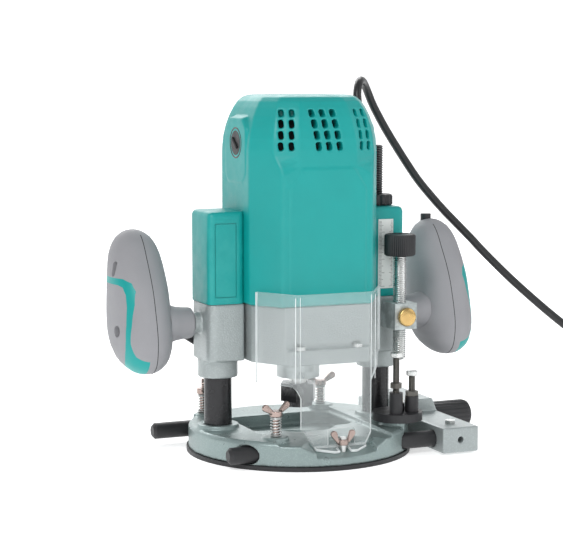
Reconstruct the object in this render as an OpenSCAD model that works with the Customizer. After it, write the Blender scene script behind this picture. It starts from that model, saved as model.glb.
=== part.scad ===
// Twin-column plunge router. Millimetres, +Z up, +X towards the depth stop, -Y towards the operator.
// The origin is the centre of the round base, on the surface that the router stands on.

/* [Base] */
// Diameter of the plastic sole
sole_d = 165; // [150:1:190]
// Height of the cast base's rim above the work
base_top = 20; // [18:0.5:24]
// Diameter of the opening for the cutter
cutter_opening_d = 50; // [38:1:56]
// Distance from the centre line to each guide rod
rod_offset = 52; // [50:1:54]
// Height of the guide rods' axes
rod_z = 10; // [9.5:0.1:10.5]
// Diameter of the guide rods
rod_d = 12; // [8:0.5:12]

/* [Columns] */
// Distance from the centre to each column's axis
column_x = 63.3; // [62:0.1:65]
// Diameter of the columns
column_d = 20; // [18:0.5:22]
// Plunge left before the depth pole meets the low stop
plunge = 25; // [15:1:25]

/* [Motor] */
// Height of the joint between the green housing and the grey bracket
housing_z = 112; // [110:1:114]
// Height of the top of the housing
housing_top = 260; // [250:1:270]
// Half of the housing's width
housing_half = 50; // [48:0.5:52]

/* [Handles] */
// Distance from the centre to the middle of each handle
handle_x = 120; // [116:1:126]
// Height of the neck that carries each handle
neck_z = 98; // [94:1:102]

/* [Depth stop] */
// Axis of the depth pole, X
pole_x = 67.1; // [66.8:0.1:67.4]
// Axis of the depth pole, Y
pole_y = -31.5; // [-32:0.1:-31.3]
// Diameter of the depth pole
pole_d = 10; // [8:0.5:10]

/* [Cord] */
// Diameter of the mains cord
cord_d = 6.2; // [6:0.1:7]

/* [Hidden] */
eps = 0.01;
round_fn = 96;
hull_fn = 32;
casting_colour = "lightsteelblue";
green = "lightseagreen";
handle_grey = "silver";
black = "dimgray";

sole_t = 3;
base_r = sole_d / 2 - 1.5;
deck_z = 17.5;
deck_x = 44;
basin_z = 8;
ring_top = 23.4;
ramp_r = 95;
ramp_x = 5;
ramp_z = 8.3;
ramp_slope = 16.7;
seat_r = 15;
turret_x = 61.5;
turret_y = -40.4;
turret_z = 24;
turret_r = 18.3;
turret_t = 6;
stop_r = 10.5;
stop_angles = [-122.2, -32.2, 57.8];
stop_posts = [45.5, 41.7, 31.5];
stop_heads = [71.3, 56.6, 32.5];
stop_nut_z = [49, 41.75, 31.55];
wing_bolts = [[-39.6, -rod_offset], [-55.5, rod_offset], [41.2, rod_offset]];
clamp_boss_r = 9.5;
clamp_boss_top = 21.5;
wing_z = 35.8;

column_r = column_d / 2;
column_top = 146;
spring_seat_z = 100;
cover_top = 178;
cover_out = 77;
cover_half_y = 19;
boss_r = 14.4;
boss_z = 58;
bracket_z = 71;
fit = 0.04;
limit_rod_r = 4.7;
limit_rod_top = 222.6;
limit_nut_r = 11.6;
limit_nut_h = 8.4;

octagon = [[33, -53], [48, -27], [48, 25], [33, 50], [-33, 50], [-48, 25], [-48, -27], [-33, -53]];
shell_outline = [[35, -53], [housing_half, -27], [housing_half, 25], [35, 50],
    [-35, 50], [-housing_half, 25], [-housing_half, -27], [-35, -53]];
shoulder_z = 222;
wall = 3;
cap_z = 226;
cap_y = -4;
cap_r = 12;
cap_out = 0.9;

block_x = [58.3, 75.9];
block_y = [-42, -19.05];
block_z = [90, 109];
knob_z = [143, 159];
knob_r = 11.6;
pole_bottom = stop_heads[2] + 9.1 + plunge;
pole_top = 157;
clamp_screw_z = 99.3;

collet_nut_z = [32, 48];
collet_r = 4;

panel = [[-47, -36], [-29, -66], [29, -66], [47, -36]];
sheet_t = 2;
sheet_top = 122.5;
foot_x = 4;
foot_y = -70;
foot_z = 13.2;

guard_x = 57;
guard_y = 20;
guard_z = [214, 250];
coil_x = 318;
coil_y = -8;
coil_inner = 25.5;
coil_outer = 44.5;
coil_h = 18.6;
plug_x = 359.4;
plug_y = 6;
plug_z = 9.5;
// The cord's route from the tip of its guard to the coil, placed by hand
cord_route = [[57, 20, 250], [57, 20, 254], [57, 21, 259], [59, 24, 265], [64, 31, 270], [72, 42, 269],
    [79, 49, 261], [85, 51, 250], [94, 50, 234], [102, 47, 220], [110, 43, 206], [118, 39, 193],
    [127, 35, 181], [137, 31, 169], [147, 27, 158], [157, 23, 147], [167, 20, 136], [187, 12, 115],
    [209, 3, 94], [227, -5, 78], [244, -14, 64], [260, -23, 51], [275, -31, 40], [288, -37, 31],
    [299, -41, 25.5], [309, -43, 22.6], [318, -43.5, 21.5]];

module tube(r, r_in, z0, z1) {
    translate([0, 0, z0]) difference() {
        cylinder(r = r, h = z1 - z0, $fn = round_fn);
        translate([0, 0, -1]) cylinder(r = r_in, h = z1 - z0 + 2, $fn = round_fn);
    }
}

module rod(r, z0, z1) {
    translate([0, 0, z0]) cylinder(r = r, h = z1 - z0, $fn = round_fn);
}

module x_rod(r, x0, x1) {
    translate([x0, 0, 0]) rotate([0, 90, 0]) cylinder(r = r, h = x1 - x0, $fn = round_fn);
}

module y_rod(r, y0, y1) {
    translate([0, y0, 0]) rotate([-90, 0, 0]) cylinder(r = r, h = y1 - y0, $fn = round_fn);
}

module block(x, y, z) {
    translate([x[0], y[0], z[0]]) cube([x[1] - x[0], y[1] - y[0], z[1] - z[0]]);
}

// A block between two corners whose four upright edges are rounded
module round_block(x, y, z, r) {
    translate([0, 0, z[0]]) linear_extrude(z[1] - z[0]) union() {
        translate([x[0] + r, y[0]]) square([x[1] - x[0] - 2 * r, y[1] - y[0]]);
        translate([x[0], y[0] + r]) square([x[1] - x[0], y[1] - y[0] - 2 * r]);
        for (cx = [x[0] + r, x[1] - r], cy = [y[0] + r, y[1] - r])
            translate([cx, cy]) circle(r = r, $fn = round_fn);
    }
}

module hex(across, z0, z1) {
    translate([0, 0, z0]) cylinder(r = across / sqrt(3), h = z1 - z0, $fn = 6);
}

// A helix of round wire about +Z
module coil_spring(r, wire, z0, z1, turns) {
    sides = 6;
    rings = turns * 12;
    points = [for (i = [0 : rings], j = [0 : sides - 1])
        let (t = i / rings, a = 360 * turns * t, b = 360 * j / sides, q = r + wire / 2 * cos(b))
        [q * cos(a), q * sin(a), z0 + wire / 2 + (z1 - z0 - wire) * t + wire / 2 * sin(b)]];
    walls = [for (i = [0 : rings - 1], j = [0 : sides - 1])
        let (k = (j + 1) % sides)
        [i * sides + j, (i + 1) * sides + j, (i + 1) * sides + k, i * sides + k]];
    polyhedron(points, concat(walls, [[for (j = [0 : sides - 1]) j]],
        [[for (j = [sides - 1 : -1 : 0]) rings * sides + j]]), convexity = 10);
}

// ---- base ----

module sole_plate() {
    color(black) difference() {
        tube(sole_d / 2, cutter_opening_d / 2 + 5, 0, sole_t);
        for (a = [45 : 90 : 315]) rotate(a) translate([44, 0, 0]) {
            rod(2.2, -1, sole_t + 1);
            translate([0, 0, -eps]) cylinder(r1 = 4.4, r2 = 2.2, h = 2.2, $fn = round_fn);
        }
    }
}

module sole_screws() {
    color("silver") for (a = [45 : 90 : 315]) rotate(a) translate([44, 0, 0]) {
        translate([0, 0, 0.3]) cylinder(r1 = 3.9, r2 = 2, h = 1.9, $fn = round_fn);
        rod(1.95, 0.3, 6.9);
    }
}

module clamp_bosses() {
    for (p = wing_bolts) translate([p[0], p[1], 0]) rod(clamp_boss_r, sole_t, clamp_boss_top);
}

module base_casting() {
    color(casting_colour) difference() {
        intersection() {
            union() {
                difference() {
                    union() {
                        rod(base_r, sole_t, base_top - 2);
                        translate([0, 0, base_top - 2])
                            cylinder(r1 = base_r, r2 = base_r - 2, h = 2, $fn = round_fn);
                    }
                    translate([-deck_x, -100, deck_z]) cube([2 * deck_x, 200, 30]);
                    round_block([-41, 41], [-12, 43], [basin_z, 30], 10);
                    // the hollow ramp at the front, under the deflector's foot
                    translate([ramp_x, -base_r, ramp_z]) rotate([ramp_slope, 0, 0])
                        translate([0, 0, ramp_r]) y_rod(ramp_r, -30, 60);
                }
                for (s = [-1, 1]) translate([s * column_x, 0, 0]) rod(seat_r, sole_t, ring_top);
                translate([turret_x, turret_y, 0]) rod(13, sole_t, turret_z);
                clamp_bosses();
            }
            rod(base_r, 0, 40);
        }
        rod(cutter_opening_d / 2, 0, 40);
        // the bore is wider above its 5 mm lip
        rod(cutter_opening_d / 2 + 1.5, basin_z, 40);
        for (s = [-1, 1]) translate([s * column_x, 0, 0]) rod(column_r, sole_t + 2, 60);
        for (s = [-1, 1]) translate([0, s * rod_offset, rod_z]) x_rod(rod_d / 2 + fit, -90, 90);
        translate([0, -rod_offset, rod_z]) x_rod(rod_d / 2 + 0.8, -90, -48);
        // the flat under the deflector's foot
        on_ramp() block([-20, 28], [-20, 3], [-0.3, 30]);
        for (p = wing_bolts) translate([p[0], p[1], 0]) rod(2.6, rod_z + rod_d / 2 - 1, 40);
        for (a = [45 : 90 : 315]) rotate(a) translate([44, 0, 0]) rod(2, 0, 7);
        translate([turret_x, turret_y, 0]) rod(3, 8, 40);
        translate([foot_x, foot_y, 0]) rod(2.5, 5, 40);
    }
}

module columns() {
    color("gray") for (s = [-1, 1]) translate([s * column_x, 0, 0]) difference() {
        rod(column_r, sole_t + 2, column_top);
        rod(7.6, spring_seat_z, column_top + 1);
        rod(4.85, 60, column_top);
    }
}

module plunge_springs() {
    color("silver") for (s = [-1, 1]) translate([s * column_x, 0, 0])
        coil_spring(6.4, 1.3, spring_seat_z + 0.1, cover_top - 4.1, 9);
}

module limit_rod() {
    color(black) translate([column_x, 0, 0]) rod(limit_rod_r, 60.1, limit_rod_top);
}

module limit_nut() {
    color(black) translate([column_x, 0, 0]) difference() {
        union() {
            tube(limit_nut_r, limit_rod_r + 0.1, cover_top + 0.3, cover_top + limit_nut_h);
            for (i = [0 : 11]) rotate(30 * i) translate([limit_nut_r - 0.6, 0, 0])
                rod(1.1, cover_top + 0.3, cover_top + limit_nut_h - 0.8);
        }
        rod(limit_rod_r + 0.1, cover_top, cover_top + 20);
    }
}

// A thumb bolt: its shank, collar and two swept wings
module wing_bolt(p, turn) {
    color("rosybrown") translate([p[0], p[1], 0]) rotate(turn) {
        rod(2.5, rod_z + rod_d / 2 + 0.3, wing_z + 2);
        rod(4.6, wing_z, wing_z + 4);
        for (s = [-1, 1]) hull() {
            translate([s * 3, 0, wing_z + 2.4]) sphere(r = 1.4, $fn = 20);
            translate([s * 10, 0, wing_z + 7]) rotate([90, 0, 0])
                cylinder(r = 2.6, h = 2, center = true, $fn = hull_fn);
        }
    }
}

module wing_bolt_front_left() {
    wing_bolt(wing_bolts[0], 20);
}

module wing_bolt_back_left() {
    wing_bolt(wing_bolts[1], 70);
}

module wing_bolt_back_right() {
    wing_bolt(wing_bolts[2], 0);
}

module clamp_springs() {
    color("silver") for (p = wing_bolts) translate([p[0], p[1], 0])
        coil_spring(3.7, 0.9, clamp_boss_top, wing_z - 0.05, 7);
}

// ---- side guide ----

bracket_x = [84.5, 113.6];
bracket_y = [-69, 75];

module guide_rod(y, x0) {
    color(black) translate([0, y, rod_z]) {
        x_rod(rod_d / 2, x0 + 2, bracket_x[0] + 20);
        translate([x0, 0, 0]) rotate([0, 90, 0])
            cylinder(r1 = rod_d / 2 - 2, r2 = rod_d / 2, h = 2 + eps, $fn = round_fn);
    }
}

module guide_rods() {
    guide_rod(-rod_offset, -76);
    guide_rod(rod_offset, -96);
}

module guide_bracket() {
    color(casting_colour) difference() {
        union() {
            round_block(bracket_x, bracket_y, [1.5, 20], 1.5);
            translate([0, 45, 0]) rotate([90, 0, 0]) linear_extrude(50)
                polygon([[bracket_x[0], 19], [bracket_x[1], 19], [109, 30], [bracket_x[0], 30]]);
        }
        for (s = [-1, 1]) translate([0, s * rod_offset, rod_z])
            x_rod(rod_d / 2, bracket_x[0] - 1, bracket_x[0] + 20);
        translate([99, 0, 10.8]) y_rod(2.3, bracket_y[0] - 1, bracket_y[0] + 10);
        for (s = [-1, 1]) translate([99, s * rod_offset, 0]) rod(2.1, 16, 40);
        translate([0, 10, 13]) x_rod(4, bracket_x[0] + 8, bracket_x[1] + 1);
    }
}

module guide_screws() {
    color("silver") for (s = [-1, 1]) translate([99, s * rod_offset, 0]) {
        rod(2.05, rod_z + rod_d / 2 + 0.1, 20);
        hex(7, 20, 22.5);
    }
}

module adjuster_knob() {
    color(black) translate([0, 10, 13]) {
        x_rod(3.9, bracket_x[0] + 9, 116);
        x_rod(11, 114.6, 144);
        translate([144 - eps, 0, 0]) rotate([0, 90, 0])
            cylinder(r1 = 11, r2 = 8, h = 3, $fn = round_fn);
    }
}

// ---- depth stop ----

module at_turret() {
    translate([turret_x, turret_y, 0]) children();
}

module turret_disc() {
    color(black) at_turret() difference() {
        union() {
            rod(turret_r, turret_z, turret_z + turret_t);
            rod(5.2, turret_z, 36);
            for (i = [0 : 2]) rotate(stop_angles[i]) translate([stop_r, 0, 0])
                rod(4.9, turret_z, stop_posts[i]);
        }
        rod(3.05, 10, 60);
        for (i = [0 : 2]) rotate(stop_angles[i]) translate([stop_r, 0, 0])
            rod(2.5, turret_z + 1, 60);
    }
}

module turret_pivot() {
    color("gray") at_turret() {
        rod(3, 8.1, 36.1);
        hex(8, 36.1, 40);
    }
}

module stop_bolts() {
    color("gray") at_turret() for (i = [0 : 2]) rotate(stop_angles[i]) translate([stop_r, 0, 0]) {
        rod(2.5, turret_z + 2, stop_heads[i]);
        hex(8, stop_heads[i], stop_heads[i] + 3.4);
    }
}

module stop_nuts() {
    color("gray") at_turret() for (i = [0, 1]) rotate(stop_angles[i]) translate([stop_r, 0, 0])
        difference() {
            hex(8, stop_nut_z[i], stop_nut_z[i] + 3.6);
            rod(2.5, 0, 80);
        }
}

module depth_pole() {
    color("silver") translate([pole_x, pole_y, 0]) {
        rod(pole_d / 2, pole_bottom, knob_z[0]);
        rod(3.5, knob_z[0] - 1, pole_top);
    }
}

module depth_pole_knob() {
    color(black) translate([pole_x, pole_y, 0]) difference() {
        rod(knob_r, knob_z[0] + 0.1, knob_z[1]);
        rod(3.55, knob_z[0], pole_top + 0.1);
    }
}

module pole_clamp_block() {
    color(casting_colour) difference() {
        block(block_x, block_y, block_z);
        translate([pole_x, pole_y, 0]) rod(pole_d / 2 + fit, 60, 120);
        translate([pole_x, 0, clamp_screw_z]) y_rod(3, block_y[0] - 1, pole_y);
    }
}

module pole_clamp_screw() {
    color("goldenrod") translate([pole_x, 0, clamp_screw_z]) {
        y_rod(2.95, block_y[0] - 0.5, pole_y - pole_d / 2 - 0.2);
        y_rod(6.9, block_y[0] - 4, block_y[0] - 0.3);
    }
}

// ---- chip deflector ----

module panel_line(grow) {
    polygon(concat(panel, [for (i = [3 : -1 : 0]) panel[i] + [0, grow]]));
}

// Everything that lies on the sloping front of the base
module on_ramp() {
    translate([0, -66, foot_z]) rotate([ramp_slope, 0, 0]) children();
}

module chip_deflector() {
    color("azure", 0.35) difference() {
        union() {
            translate([0, 0, 58]) linear_extrude(sheet_top - 58) panel_line(-sheet_t * 1.2);
            translate([0, 0, foot_z + 0.6]) linear_extrude(50) translate([-27, -66.2 - sheet_t])
                square([54, sheet_t]);
            on_ramp() linear_extrude(sheet_t)
                polygon([[-17, -0.8], [23, -0.8], [23, -4], [13, -9.5], [-5, -9.5], [-17, -4]]);
        }
        // the tab narrows towards the foot
        for (s = [-1, 1]) translate([3 + s * 21.5, -66, foot_z]) rotate([0, s * 24, 0])
            translate([s * 8 - 8, -6, -8]) cube([16, 12, 20]);
        on_ramp() translate([foot_x, 0, 0]) block([-4, 4], [-14, -1.2], [-2, 6]);
        // the window that the wing nut turns in
        translate([foot_x, 0, 0]) block([-10.3, 10.3], [-68.8, -65], [foot_z - 1, 27]);
        // room for the stop bolts
        block([30.3, 51], [-70, -30], [50, 67]);
        block([38, 51], [-55, -30], [50, 76]);
    }
}

module deflector_stud() {
    color("silver") translate([foot_x, foot_y, 0]) rod(2.45, 5.1, 21);
}

module deflector_wing_nut() {
    color("rosybrown") translate([foot_x, foot_y, foot_z + 2.2]) {
        tube(3.9, 2.55, 0, 4);
        for (s = [-1, 1]) hull() {
            translate([s * 4, 0, 2]) sphere(r = 1.2, $fn = 20);
            translate([s * 7, 0, 8]) rotate([90, 0, 0])
                cylinder(r = 2.4, h = 2, center = true, $fn = hull_fn);
        }
    }
}

// ---- motor body ----

module motor_bracket() {
    color(casting_colour) difference() {
        union() {
            translate([0, 0, bracket_z]) linear_extrude(housing_z - bracket_z) polygon(octagon);
            // front ledge over the cutter
            translate([0, 0, bracket_z]) linear_extrude(11)
                polygon([[-30, -58], [30, -58], [40, -36], [-40, -36]]);
            rod(26, bracket_z - 3, bracket_z + 2);
        }
        rod(13.1, 60, 120);
        rod(40, 84, 120);
        // holes and spot-faced seats of the two front screws
        for (x = [-22, 22]) translate([x, -55, 0]) {
            rod(2, bracket_z + 4, 83);
            rod(3.9, 82, 85.5);
        }
        translate([0, 0, 77]) y_rod(4.1, 20, 65);
    }
}

// the two sleeves that slide on the columns, with the stubs that carry the grips
module column_sleeves() {
    color(casting_colour) difference() {
        for (s = [-1, 1]) {
            intersection() {
                round_block(s < 0 ? [-cover_out, -40] : [40, cover_out], [-cover_half_y, cover_half_y],
                    [bracket_z, housing_z], 7);
                block(s < 0 ? [-90, -50] : [50, 90], [-30, 30], [bracket_z - 1, housing_z + 1]);
            }
            translate([s * column_x, 0, 0]) {
                rod(boss_r, boss_z, bracket_z);
                rod(13, boss_z, bracket_z + 1);
            }
            translate([0, 0, neck_z]) x_rod(7.5, s < 0 ? -83 : 76, s < 0 ? -76 : 83);
        }
        for (s = [-1, 1]) translate([s * column_x, 0, 0]) rod(column_r + fit, 50, 120);
        for (s = [-1, 1]) translate([0, 0, neck_z]) x_rod(4.2, s < 0 ? -90 : 73.9, s < 0 ? -73.9 : 90);
    }
}

module bearing_retainer() {
    color(casting_colour) tube(15.8, 10.4, 54, bracket_z - 3 - eps);
}

module bracket_screws() {
    color("silver") for (x = [-22, 22]) translate([x, -55, 0]) {
        rod(1.9, bracket_z + 4.1, 82);
        rod(3.6, 82, 84.4);
    }
}

module shell_solid(inset, z1) {
    scale_in = (housing_half - inset) / housing_half;
    hull() {
        translate([0, 0, housing_z]) linear_extrude(shoulder_z - housing_z)
            scale([scale_in, scale_in]) polygon(shell_outline);
        translate([0, 0, shoulder_z]) linear_extrude(18)
            scale([scale_in * 0.965, scale_in * 0.965]) polygon(shell_outline);
        translate([0, 0, shoulder_z]) linear_extrude(z1 - 6 - shoulder_z)
            scale([scale_in * 0.88, scale_in * 0.88]) polygon(shell_outline);
        translate([0, 0, shoulder_z]) linear_extrude(z1 - shoulder_z)
            scale([scale_in * 0.78, scale_in * 0.78]) polygon(shell_outline);
    }
}

// Rows of slanted air slots through one face of the housing's shoulder
module vents(columns, pitch, slant) {
    for (i = [0 : columns - 1], row = [0 : 3])
        translate([(i - (columns - 1) / 2) * pitch + slant * row, 0, [249, 242.5, 233.5, 226.5][row]])
            cube([5.2, 30, row == 0 ? 5 : 5.6], center = true);
}

module motor_housing() {
    color(green) difference() {
        union() {
            difference() {
                union() {
                    shell_solid(0, housing_top);
                    for (s = [-1, 1]) translate([0, cap_y, cap_z])
                        x_rod(cap_r + 3, s < 0 ? -housing_half - 0.6 : 30, s < 0 ? -30 : housing_half + 0.6);
                    block([44, 65], [14, 28], [200, 214]);
                }
                shell_solid(wall, housing_top - wall);
            }
            // the cup of the upper bearing, and two ribs that hold the stator
            rod(14.5, 238.5, housing_top - wall + 1);
            for (s = [-1, 1]) translate([s * (housing_half - 5), 0, 165]) cube([8, 16, 54], center = true);
        }
        rod(12.04, 237, 247.05);
        rod(44.02, 137, 193);
        for (s = [-1, 1]) translate([0, cap_y, cap_z]) x_rod(9.6, s < 0 ? -60 : 30, s < 0 ? -30 : 60);
        translate([0, -48, 0]) vents(3, 8.4, 0.5);
        translate([0, 46, 0]) vents(3, 8.4, 0.5);
        for (s = [-1, 1]) {
            translate([s * 40, -38, 0]) rotate(s * 60) vents(2, 8.4, 0.5);
            translate([s * 40, 36, 0]) rotate(-s * 60) vents(2, 8.4, 0.5);
        }
        translate([guard_x, guard_y, 0]) rod(4.2, 196, 220);
    }
}

module cover(s) {
    difference() {
        round_block(s < 0 ? [-cover_out, -housing_half - 0.3] : [housing_half + 0.3, cover_out],
            [-cover_half_y, cover_half_y], [housing_z + 0.05, cover_top], 5);
        translate([s * column_x, 0, 0]) rod(11.6, 100, cover_top - 4);
        if (s > 0) translate([column_x, 0, 0]) rod(limit_rod_r + 0.6, 100, 200);
    }
}

module cover_left() {
    color(green) cover(-1);
}

module cover_right() {
    color(green) cover(1);
}

module scale_strip() {
    color("white") block([55.5, 67.5], [-cover_half_y - 0.6, -cover_half_y - 0.02], [118, 169]);
}

module brush_caps() {
    color(black) for (s = [-1, 1]) translate([0, cap_y, cap_z]) difference() {
        x_rod(9.5, s < 0 ? -housing_half - cap_out : 45, s < 0 ? -45 : housing_half + cap_out);
        translate([s * (housing_half + cap_out), 0, 0]) rotate([45, 0, 0]) cube([2, 1.6, 11], center = true);
    }
}

module brush_holders() {
    color("goldenrod") for (s = [-1, 1]) translate([0, cap_y, cap_z]) difference() {
        block(s < 0 ? [-44.9, -17] : [17, 44.9], [-6, 6], [-8, 8]);
        block(s < 0 ? [-46, -16] : [16, 46], [-3.6, 3.6], [-5.6, 5.6]);
    }
}

module carbon_brushes() {
    color("black") for (s = [-1, 1]) translate([0, cap_y, cap_z])
        block(s < 0 ? [-36, -15.1] : [15.1, 36], [-3.5, 3.5], [-5.5, 5.5]);
}

module stator_core() {
    color("gray") difference() {
        translate([0, 0, 140]) intersection() {
            cylinder(r = 44, h = 50, $fn = round_fn);
            translate([-50, -40, 0]) cube([100, 80, 50]);
        }
        rod(23, 130, 200);
    }
}

module field_windings() {
    color("chocolate") for (z = [[131, 139.9], [190.1, 199]]) tube(34, 24, z[0], z[1]);
}

module spindle_shaft() {
    color("silver") difference() {
        union() {
            rod(5.95, 120, 246);
            rod(7.95, 56, 120);
            rod(7, 46, 56);
        }
        rod(collet_r + 1.45, 45, 80);
    }
}

module armature_core() {
    color("gray") tube(22, 6, 141, 189);
}

module commutator() {
    color("goldenrod") tube(15, 6, 214, 236);
}

module cooling_fan() {
    color(black) {
        tube(12, 8, 104, 116);
        for (i = [0 : 8]) rotate(40 * i) translate([11, -0.8, 104]) cube([23, 1.6, 10]);
        tube(34, 11, 102.4, 104.2);
    }
}

module upper_bearing() {
    color("silver") tube(12, 6, 240, 247);
}

module lower_bearing() {
    color("silver") tube(13.05, 8, 72.5, 83.5);
}

module collet() {
    color("silver") tube(collet_r + 1.4, collet_r, 33, 70);
}

module collet_nut() {
    color(black) difference() {
        union() {
            rod(10.5, collet_nut_z[0], collet_nut_z[0] + 4);
            hex(24, collet_nut_z[0] + 4, collet_nut_z[1] + 1);
        }
        rod(collet_r + 1.45, 20, 60);
        rod(7, 46, 60);
    }
}

module shaft_lock() {
    color(black) translate([0, 0, 77]) {
        y_rod(4, 40, 56);
        y_rod(5.5, 56, 60);
    }
}

module plunge_lock_lever() {
    color(black) translate([-column_x, 0, 80]) difference() {
        union() {
            y_rod(8, cover_half_y + 0.3, cover_half_y + 8);
            hull() {
                y_rod(7, cover_half_y + 2, cover_half_y + 8);
                translate([-28, 0, 16]) y_rod(5, cover_half_y + 4, cover_half_y + 10);
            }
        }
        y_rod(3, 0, 22);
    }
}

// ---- handles ----

module grip(s, shrink) {
    hull() {
        for (p = [[20, 147, 15, 18, 17], [12, 122, 20, 27, 24], [8, 98, 21, 32, 24], [1, 83, 17, 24, 19]])
            translate([s * handle_x, p[0], p[1]])
                resize([2 * (p[2] - shrink), 2 * (p[3] - shrink), 2 * (p[4] - shrink)])
                    sphere(r = 10, $fn = 36);
    }
}

// The outline of the coloured trim on a grip's outer side, seen along X
module trim_outline(s) {
    translate([s < 0 ? -170 : handle_x + 4, 0, 0]) rotate([90, 0, 90]) linear_extrude(50 - 4)
        polygon([[60, 134], [-4, 134], [-16, 128], [-24, 104], [-28, 60], [60, 60],
            [60, 66], [0, 70], [-18, 92], [-14, 122], [-6, 127], [60, 127]]);
}

module handle_shells(s) {
    difference() {
        union() {
            difference() {
                grip(s, 0);
                grip(s, 3);
            }
            translate([0, 0, neck_z]) x_rod(12.5, s < 0 ? -104 : 84, s < 0 ? -84 : 104);
        }
        trim_outline(s);
        translate([0, 0, neck_z]) x_rod(4.2, s < 0 ? -106 : 83, s < 0 ? -83 : 106);
        for (p = [[-12, 141, 2.6], [-20, 101, 3.4]]) translate([0, p[0], p[1]])
            x_rod(p[2], s < 0 ? -160 : 130, s < 0 ? -130 : 160);
        if (s > 0) {
            block([108, 128], [20, 60], [100, 130]);
            translate([0, 26, 158]) translate([118, 0, 0]) rod(4.1, -10, 20);
        }
    }
}

module handle_studs() {
    color("silver") for (s = [-1, 1]) translate([0, 0, neck_z])
        x_rod(4.1, s < 0 ? -108 : 74.1, s < 0 ? -74.1 : 108);
}

module handle_left_shells() {
    color(handle_grey) handle_shells(-1);
}

module handle_left_trim() {
    color(green) intersection() {
        difference() {
            grip(-1, 0);
            grip(-1, 3);
        }
        trim_outline(-1);
    }
}

module handle_right_shells() {
    color(handle_grey) handle_shells(1);
}

module handle_right_trim() {
    color(green) intersection() {
        difference() {
            grip(1, 0);
            grip(1, 3);
            block([108, 128], [20, 60], [100, 130]);
        }
        trim_outline(1);
    }
}

module trigger() {
    color(black) round_block([110, 126], [24, 44], [102, 128], 3);
}

module lock_button() {
    color(black) translate([118, 26, 0]) rod(4, 152, 168);
}

// ---- cord ----

module cord_guard() {
    color(black) translate([guard_x, guard_y, 0]) {
        rod(4.15, 200.5, guard_z[0] + eps);
        translate([0, 0, guard_z[0]])
            cylinder(r1 = 6.6, r2 = cord_d / 2 + 0.9, h = guard_z[1] - guard_z[0], $fn = round_fn);
    }
}

function unit(v) = v / norm(v);
function along(i) = unit(cord_route[min(i + 1, len(cord_route) - 1)] - cord_route[max(i - 1, 0)]);
function ring(i) = let (d = along(i), u = unit(cross(d, [0.3, -1, 0.1])), v = cross(d, u))
    [for (j = [0 : 9]) cord_route[i] + cord_d / 2 * (cos(36 * j) * u + sin(36 * j) * v)];

module cord_tube() {
    last = len(cord_route) - 1;
    points = [for (i = [0 : last]) each ring(i)];
    walls = [for (i = [0 : last - 1], j = [0 : 9])
        let (k = (j + 1) % 10) [i * 10 + j, i * 10 + k, i * 10 + 10 + k, i * 10 + 10 + j]];
    color("black") polyhedron(points, concat(walls, [[for (j = [9 : -1 : 0]) j]],
        [[for (j = [0 : 9]) last * 10 + j]]), convexity = 6);
}

module cord_coil() {
    color("black") translate([coil_x, coil_y, 0]) rotate_extrude($fn = round_fn)
        translate([coil_inner, 0]) square([coil_outer - coil_inner, coil_h]);
}

module plug() {
    color("black") translate([plug_x, plug_y, plug_z]) {
        rotate([-90, 0, 0]) cylinder(r1 = 3.8, r2 = 6, h = 20.01, $fn = round_fn);
        translate([0, 20, -plug_z]) round_block([-13, 13], [0, 38], [0.05, 2 * plug_z], 6);
    }
    color("silver") for (s = [-1, 1]) translate([plug_x + s * 9.5, plug_y, plug_z]) y_rod(2, 57, 77);
}

sole_plate();
sole_screws();
base_casting();
columns();
plunge_springs();
limit_rod();
limit_nut();
wing_bolt_front_left();
wing_bolt_back_left();
wing_bolt_back_right();
clamp_springs();
guide_rods();
guide_bracket();
guide_screws();
adjuster_knob();
turret_disc();
turret_pivot();
stop_bolts();
stop_nuts();
chip_deflector();
deflector_wing_nut();
deflector_stud();
motor_bracket();
column_sleeves();
bearing_retainer();
bracket_screws();
motor_housing();
cover_left();
cover_right();
scale_strip();
brush_caps();
brush_holders();
carbon_brushes();
stator_core();
field_windings();
spindle_shaft();
armature_core();
commutator();
cooling_fan();
upper_bearing();
lower_bearing();
collet();
collet_nut();
shaft_lock();
depth_pole();
depth_pole_knob();
pole_clamp_block();
pole_clamp_screw();
plunge_lock_lever();
handle_studs();
handle_left_shells();
handle_left_trim();
handle_right_shells();
handle_right_trim();
trigger();
lock_button();
cord_guard();
cord_tube();
cord_coil();
plug();
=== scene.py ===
import bmesh
import bpy
import math
from mathutils import Matrix, Vector


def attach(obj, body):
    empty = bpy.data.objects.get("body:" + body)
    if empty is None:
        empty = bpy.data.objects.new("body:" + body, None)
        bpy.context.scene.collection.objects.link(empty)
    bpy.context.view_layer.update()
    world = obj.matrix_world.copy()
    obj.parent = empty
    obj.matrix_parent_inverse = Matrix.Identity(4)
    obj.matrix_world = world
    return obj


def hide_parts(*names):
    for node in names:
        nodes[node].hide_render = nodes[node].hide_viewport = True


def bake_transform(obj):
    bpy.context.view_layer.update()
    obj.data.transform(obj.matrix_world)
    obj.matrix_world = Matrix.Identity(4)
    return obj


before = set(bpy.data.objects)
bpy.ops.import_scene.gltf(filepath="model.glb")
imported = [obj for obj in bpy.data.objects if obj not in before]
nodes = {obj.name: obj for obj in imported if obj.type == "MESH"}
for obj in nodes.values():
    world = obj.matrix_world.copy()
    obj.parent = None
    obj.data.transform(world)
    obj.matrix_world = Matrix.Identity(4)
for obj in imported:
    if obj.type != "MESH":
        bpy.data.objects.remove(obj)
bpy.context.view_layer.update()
scene = bpy.context.scene
MM = 0.001

# places in millimetres that several pieces share
ROD = (63.3, 0, 0)
POLE = (67.1, -31.5, 0)
BRUSH = (45.6, -4, 226)
TURRET = (61.5, -40.4)
PLUG_X, PLUG_Z = 359.4, 9.5
GRIP_X = 119.9


# ---- camera and light ----

def aim(obj, place, target):
    obj.location = place
    obj.rotation_mode = "QUATERNION"
    obj.rotation_quaternion = (Vector(target) - Vector(place)).to_track_quat("-Z", "Y")


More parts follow.
